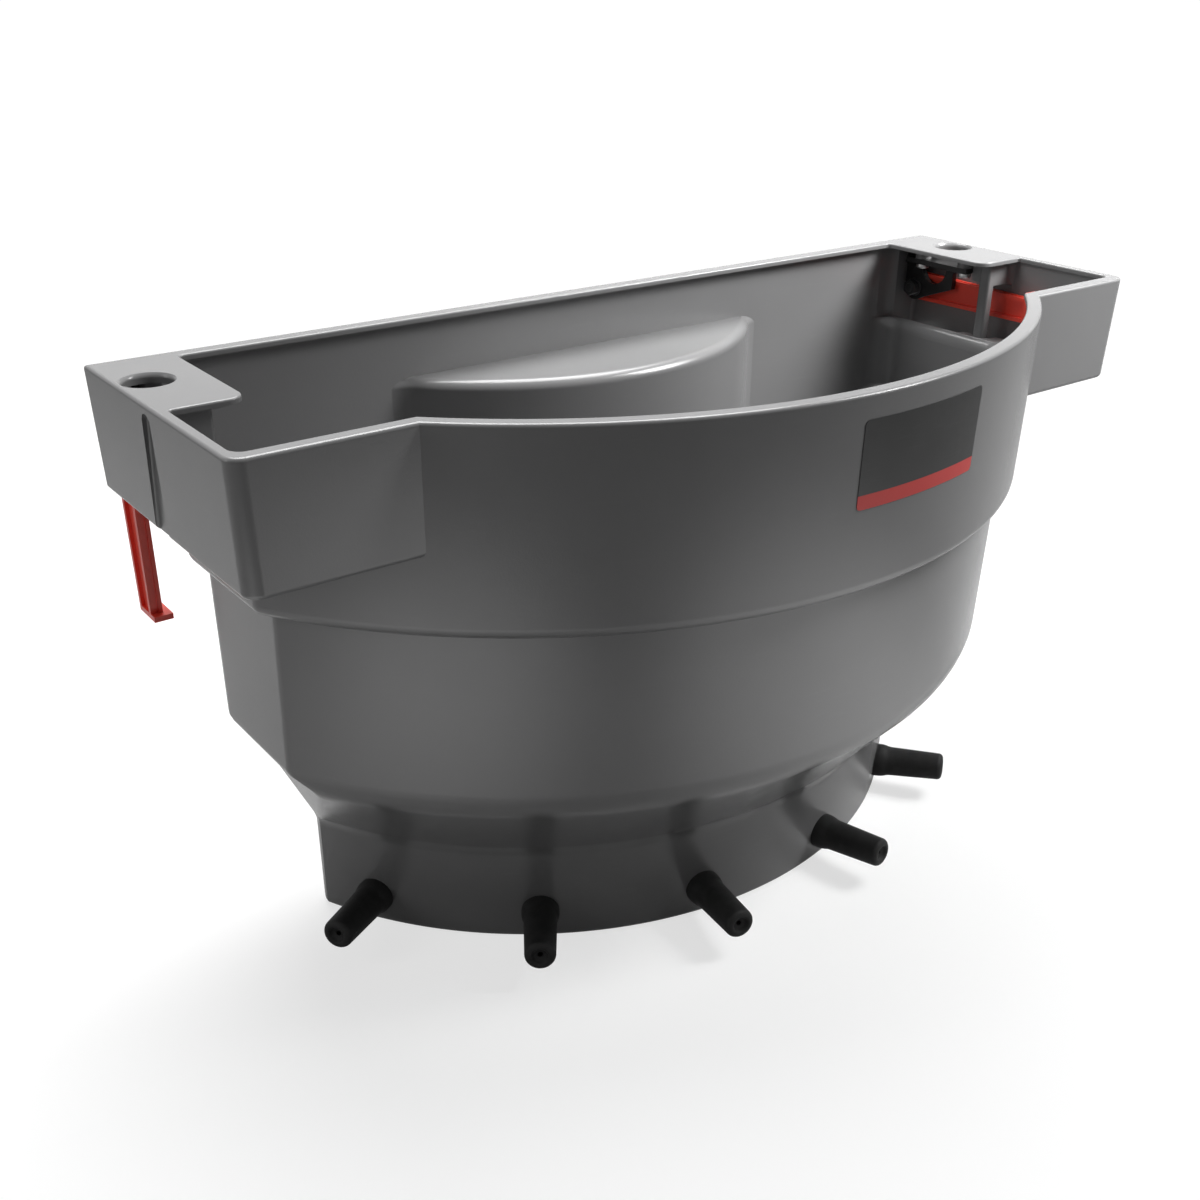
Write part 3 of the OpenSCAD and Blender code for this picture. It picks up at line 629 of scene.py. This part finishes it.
bmesh.ops.solidify(film, geom=list(film.faces), thickness=-label_film)
bmesh.ops.recalc_face_normals(film, faces=film.faces)
label = as_piece("blank_label", film)
shade(label, 40.0)


def add_band(finish, top_z, colour):
    """Gives a finish a plain band of another colour below one height."""
    nodes, links = finish.node_tree.nodes, finish.node_tree.links
    shader = nodes["Principled BSDF"]
    place = nodes.new("ShaderNodeTexCoord")
    height = nodes.new("ShaderNodeSeparateXYZ")
    links.new(place.outputs["Object"], height.inputs["Vector"])
    edge = nodes.new("ShaderNodeMapRange")
    edge.inputs["From Min"].default_value = top_z + 0.0001
    edge.inputs["From Max"].default_value = top_z - 0.0001
    links.new(height.outputs["Z"], edge.inputs["Value"])
    blend = nodes.new("ShaderNodeMix")
    blend.data_type = "RGBA"
    links.new(edge.outputs["Result"], blend.inputs["Factor"])
    links.new(shader.inputs["Base Color"].links[0].from_socket, blend.inputs["A"])
    blend.inputs["B"].default_value = (*colour, 1.0)
    links.new(blend.outputs["Result"], shader.inputs["Base Color"])


vinyl = moulded("label_vinyl", (0.012, 0.012, 0.012), (0.018, 0.018, 0.018), roughness=0.335, clouds=40.0,
                grain=1500.0, depth=0.00004, gloss=0.5, worn=(0.05, 0.05, 0.05))
add_band(vinyl, 0.2807, (0.55, 0.035, 0.03))
label.data.materials.append(vinyl)
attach(label, "feeder")


# Floor, light and camera: a white floor that keeps a soft shadow and glows in two patches, seen only in gloss, that
# paint highlights onto the tub; broad soft studio lamps overhead and at the sides, and the camera of the photograph.
def seen_white(tree, plain, to_camera, to_gloss):
    """Strength that differs for what the camera sees, what gloss and glass show, and what lights the object."""
    path = tree.nodes.new("ShaderNodeLightPath")
    value = None
    for ray, strength in (("Is Glossy Ray", to_gloss), ("Is Transmission Ray", to_gloss),
                          ("Is Camera Ray", to_camera)):
        choose = tree.nodes.new("ShaderNodeMapRange")
        tree.links.new(path.outputs[ray], choose.inputs["Value"])
        choose.inputs["To Min"].default_value = plain
        if value:
            tree.links.new(value, choose.inputs["To Min"])
        if isinstance(strength, float):
            choose.inputs["To Max"].default_value = strength
        else:
            tree.links.new(strength, choose.inputs["To Max"])
        value = choose.outputs["Result"]
    return value


ground = bmesh.new()
bmesh.ops.create_grid(ground, x_segments=1, y_segments=1, size=14.0)
floor = as_piece("floor", ground)
paper = bpy.data.materials.new("white_floor")
paper.use_nodes = True
paper_shader = paper.node_tree.nodes["Principled BSDF"]
paper_shader.inputs["Base Color"].default_value = (0.33, 0.33, 0.33, 1.0)
paper_shader.inputs["Roughness"].default_value = 0.9
paper_shader.inputs["Specular IOR Level"].default_value = 0.0
paper_shader.inputs["Emission Color"].default_value = (1.0, 1.0, 1.0, 1.0)
paper_tree = paper.node_tree
spot = paper_tree.nodes.new("ShaderNodeTexCoord")


def by_distance(centre, steps):
    """Brightness of the floor that changes smoothly between two distances from a place on it."""
    away = paper_tree.nodes.new("ShaderNodeVectorMath")
    away.operation = "DISTANCE"
    away.inputs[1].default_value = centre
    paper_tree.links.new(spot.outputs["Object"], away.inputs[0])
    ease = paper_tree.nodes.new("ShaderNodeMapRange")
    ease.interpolation_type = "SMOOTHSTEP"
    for end, (distance, strength) in zip(("Min", "Max"), steps):
        ease.inputs["From " + end].default_value = distance
        ease.inputs["To " + end].default_value = strength
    paper_tree.links.new(away.outputs["Value"], ease.inputs["Value"])
    return ease.outputs["Result"]


# Painted highlights: two floor patches, at the front left and front right, glow only in gloss and paint sheen onto
# the tub's front.
painted_sheen_spots = paper_tree.nodes.new("ShaderNodeMath")
painted_sheen_spots.operation = "ADD"
paper_tree.links.new(by_distance((-0.50, -0.24, 0.0), ((0.06, 1.7), (0.38, 0.10))), painted_sheen_spots.inputs[0])
paper_tree.links.new(by_distance((0.13, -0.42, 0.0), ((0.08, 1.8), (0.42, 0.10))), painted_sheen_spots.inputs[1])
to_camera = by_distance((0.0, 0.0, 0.0), ((0.5, 0.68), (2.6, 1.0)))
glow = seen_white(paper_tree, 0.0, to_camera, painted_sheen_spots.outputs["Value"])
paper_tree.links.new(glow, paper_shader.inputs["Emission Strength"])
floor.data.materials.append(paper)

world = bpy.data.worlds.new("studio")
bpy.context.scene.world = world
world.use_nodes = True
sky = world.node_tree.nodes["Background"]
sky.inputs["Color"].default_value = (1.0, 1.0, 1.0, 1.0)
world.node_tree.links.new(seen_white(world.node_tree, 0.10, 1.0, 0.85), sky.inputs["Strength"])


def softbox(name, place, aim, width, height, power, spread=180.0):
    """Broad rectangular lamp that faces a point, with a grid that can narrow its beam."""
    lamp = bpy.data.lights.new(name, "AREA")
    lamp.shape = "RECTANGLE"
    lamp.size, lamp.size_y = width, height
    lamp.energy = power
    lamp.spread = math.radians(spread)
    holder = bpy.data.objects.new(name, lamp)
    bpy.context.scene.collection.objects.link(holder)
    facing = (Vector(aim) - Vector(place)).to_track_quat("-Z", "Y").to_matrix().to_4x4()
    holder.matrix_world = Matrix.Translation(place) @ facing


softbox("overhead_softbox", (0.2, 0.45, 1.5), (0.0, 0.05, 0.3), 1.2, 1.0, 40.0)
softbox("right_softbox", (0.62, -0.30, 0.82), (0.26, 0.10, 0.30), 0.40, 0.40, 2.5, 62.0)
softbox("left_softbox", (-1.3, 0.35, 0.7), (-0.2, 0.0, 0.25), 0.4, 0.8, 2.4)

lens = bpy.data.cameras.new("photo_camera")
lens.lens = 41.4
lens.sensor_width = 36.0
lens.shift_x = -0.0276
lens.shift_y = 0.0470
camera = bpy.data.objects.new("photo_camera", lens)
bpy.context.scene.collection.objects.link(camera)
right = Vector((0.7906, -0.6122, 0.0136))
ahead = Vector((0.5482, 0.6978, -0.461))
upward = Vector((0.2727, 0.3719, 0.8873))
camera.matrix_world = (Matrix.Translation((-0.4943, -0.5539, 0.5183))
                       @ Matrix((right, upward, -ahead)).transposed().to_4x4())
bpy.context.scene.camera = camera
bpy.context.scene.view_settings.view_transform = "Standard"
